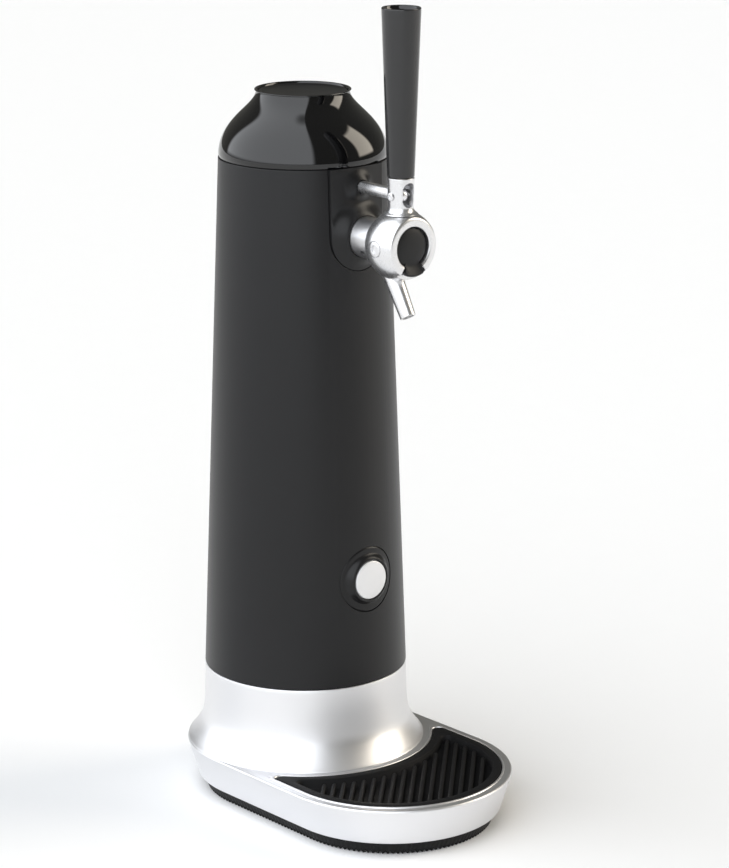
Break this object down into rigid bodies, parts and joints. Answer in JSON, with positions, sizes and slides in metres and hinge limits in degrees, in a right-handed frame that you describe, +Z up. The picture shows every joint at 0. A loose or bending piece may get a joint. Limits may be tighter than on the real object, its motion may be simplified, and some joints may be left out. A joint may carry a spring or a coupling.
{
  "type": "tabletop beer dispenser",
  "caption": "Countertop draft beer dispenser: a tapered tower that holds a can or bottle under a lever tap, on a base with a drip tray.",
  "frame": {"origin": "on the tower's axis, at the surface that the base stands on", "axes": "+Z up along the tower; the tap and the drip tray face -Y; +X is to the right seen from the front"},
  "size_m": [0.1182, 0.1824, 0.3973],
  "materials": {
    "satin_silver": "satin silver paint",
    "matte_black": "fine matte, slightly warm in the light",
    "gloss_black": "polished",
    "handle_grey": "satin",
    "black_rubber": "matte",
    "silicone": "translucent milky silicone",
    "natural_plastic": "natural moulded",
    "steel": "bright",
    "brass": "turned",
    "board_green": "solder mask",
    "cell_sleeve": "plain sleeve",
    "piezo_ceramic": "unglazed ceramic",
    "button_white": "satin white"
  },
  "bodies": {
    "base": {"base_foot": "black_rubber", "base_floor": "matte_black", "base_shell": "satin_silver", "base_screw_1": "steel", "base_screw_2": "steel", "base_screw_3": "steel", "base_screw_4": "steel", "pedestal_collar": "satin_silver", "can_cup": "matte_black", "cup_screw_1": "steel", "cup_screw_2": "steel", "cup_screw_3": "steel", "can_pad": "black_rubber", "base_seal": "black_rubber"},
    "drip_tray": {"drip_tray": "black_rubber"},
    "tower": {"housing_shell": "matte_black", "pressure_chamber": "natural_plastic", "equipment_plate": "matte_black", "plate_screw_1": "steel", "plate_screw_2": "steel", "plate_screw_3": "steel", "tube_grommet": "black_rubber", "air_fitting": "natural_plastic", "relief_valve": "brass", "beer_tube": "silicone", "tap_panel": "matte_black", "rod_bush": "natural_plastic", "button_bezel": "matte_black", "switch_board": "board_green", "button_switch": "matte_black", "shank": "satin_silver", "shank_nut": "brass", "foam_transducer": "piezo_ceramic", "faucet_body": "satin_silver", "trunnion_left": "satin_silver", "trunnion_right": "satin_silver", "pump_mount": "black_rubber", "pump_motor": "steel", "pump_head": "matte_black", "air_tube": "silicone", "control_board": "board_green", "switch_pour": "matte_black", "switch_foam": "matte_black", "battery_tray": "matte_black", "battery_contact_1": "steel", "battery_contact_2": "steel", "battery_1": "cell_sleeve", "battery_2": "cell_sleeve"},
    "cap": {"cap_dome": "gloss_black", "cap_disc": "gloss_black", "contact_strip": "steel"},
    "button": {"power_button": "button_white"},
    "lever": {"lever_collar": "satin_silver", "lever_pin": "satin_silver", "handle": "handle_grey", "handle_insert": "brass"},
    "rod": {"push_rod": "satin_silver", "switch_slider": "natural_plastic"},
    "plug": {"faucet_plug": "matte_black"}
  },
  "joints": [
    {"name": "tower_lift", "type": "slide", "parent": "base", "child": "tower", "axis": [0, 0, 1], "range_m": [0, 0.25]},
    {"name": "drip_tray_lift", "type": "slide", "parent": "base", "child": "drip_tray", "axis": [0, 0, 1], "range_m": [0, 0.03]},
    {"name": "cap_lift", "type": "slide", "parent": "tower", "child": "cap", "axis": [0, 0, 1], "range_m": [0, 0.04]},
    {"name": "power_button_press", "type": "slide", "parent": "tower", "child": "button", "axis": [0, 1, 0], "range_m": [0, 0.0012], "stiffness_N_per_m": 800},
    {"name": "tap_lever", "type": "hinge", "parent": "tower", "child": "lever", "pos_m": [0, -0.0705, 0.2865], "axis": [1, 0, 0], "range_deg": [-12, 15], "stiffness_Nm_per_rad": 0.5},
    {"name": "push_rod_slide", "type": "slide", "parent": "tower", "child": "rod", "axis": [0, -1, 0], "range_m": [-0.0052, 0.0064]},
    {"name": "faucet_plug_pull", "type": "slide", "parent": "tower", "child": "plug", "axis": [0, -1, 0], "range_m": [0, 0.02]}
  ],
  "couplings": [
    {"joint": "push_rod_slide", "follows": "tap_lever", "m_per_rad": 0.0235}
  ]
}
